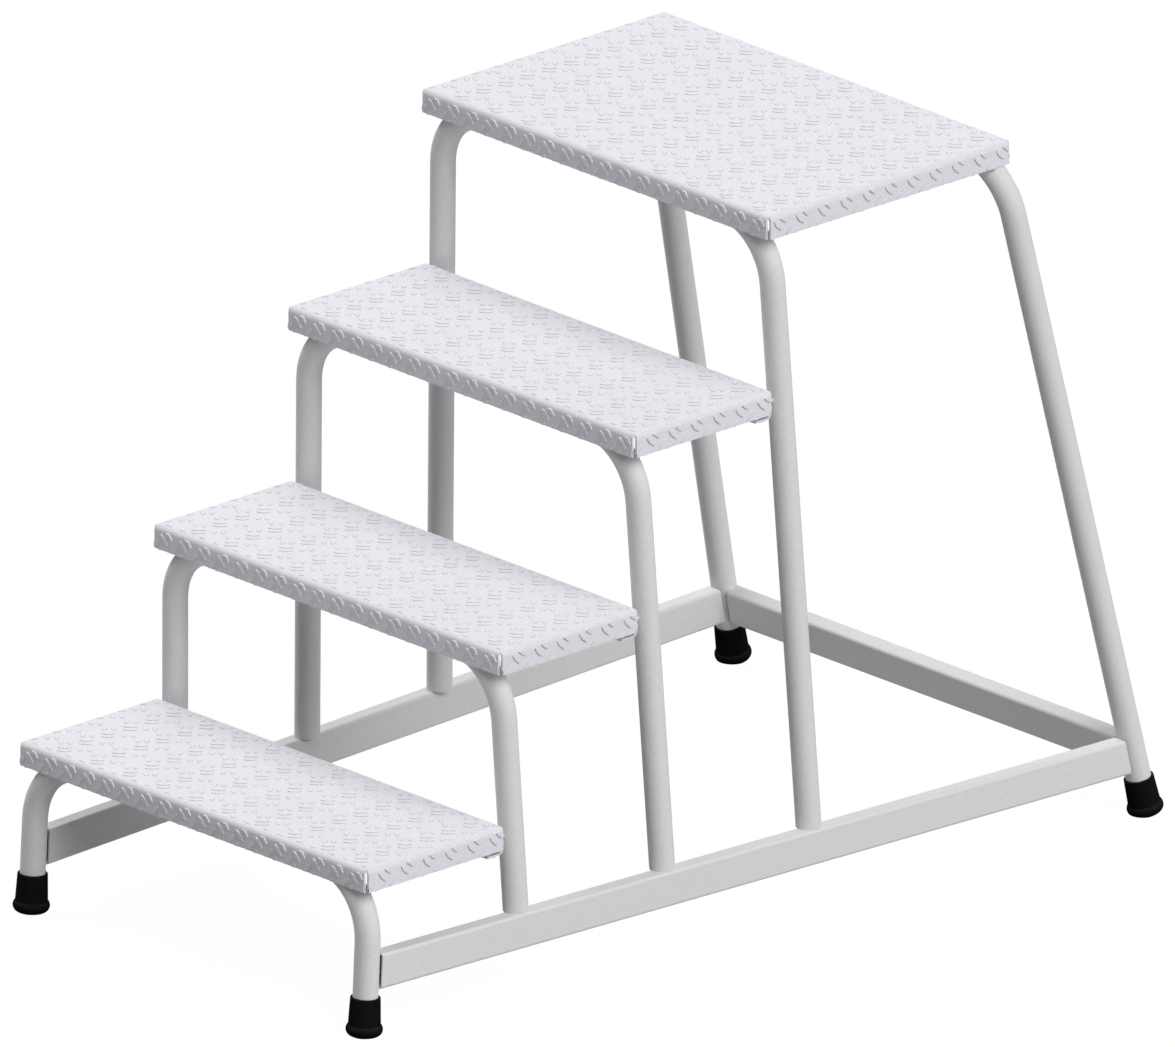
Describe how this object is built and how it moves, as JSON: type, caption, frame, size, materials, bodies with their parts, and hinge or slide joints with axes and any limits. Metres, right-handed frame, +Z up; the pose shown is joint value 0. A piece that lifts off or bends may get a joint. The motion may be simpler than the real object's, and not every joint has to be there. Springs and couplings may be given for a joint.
{
  "type": "work step",
  "caption": "Free-standing work step: folded checker plate treads rising to a deeper platform, on leaning bent tube hoops with side rails and rubber feet.",
  "frame": {"origin": "on the floor, under the middle of the step", "axes": "+Y along the climb towards the platform, +X to the right when climbing, +Z up"},
  "size_m": [0.6912, 1.1256, 0.7935],
  "materials": {
    "checker_plate": "pale matt checker plate",
    "frame_coat": "light grey powder coat",
    "foot_rubber": "black moulded rubber",
    "zinc_steel": "zinc plated"
  },
  "bodies": {
    "root": {"tread_1": "checker_plate", "tread_2": "checker_plate", "tread_3": "checker_plate", "platform": "checker_plate", "front_hoop": "frame_coat", "second_hoop": "frame_coat", "third_hoop": "frame_coat", "platform_hoop": "frame_coat", "rear_hoop": "frame_coat", "left_rail": "frame_coat", "right_rail": "frame_coat", "rear_cross_rail": "frame_coat", "tread_tabs": "frame_coat", "foot_front_left": "foot_rubber", "foot_front_right": "foot_rubber", "foot_rear_left": "foot_rubber", "foot_rear_right": "foot_rubber", "foot_disc_front_left": "zinc_steel", "foot_disc_front_right": "zinc_steel", "foot_disc_rear_left": "zinc_steel", "foot_disc_rear_right": "zinc_steel", "tread_studs": "zinc_steel", "stud_washers": "zinc_steel", "stud_nuts": "zinc_steel", "rear_screws": "zinc_steel", "rear_spacers": "zinc_steel", "rivet_nuts": "zinc_steel"}
  },
  "joints": []
}
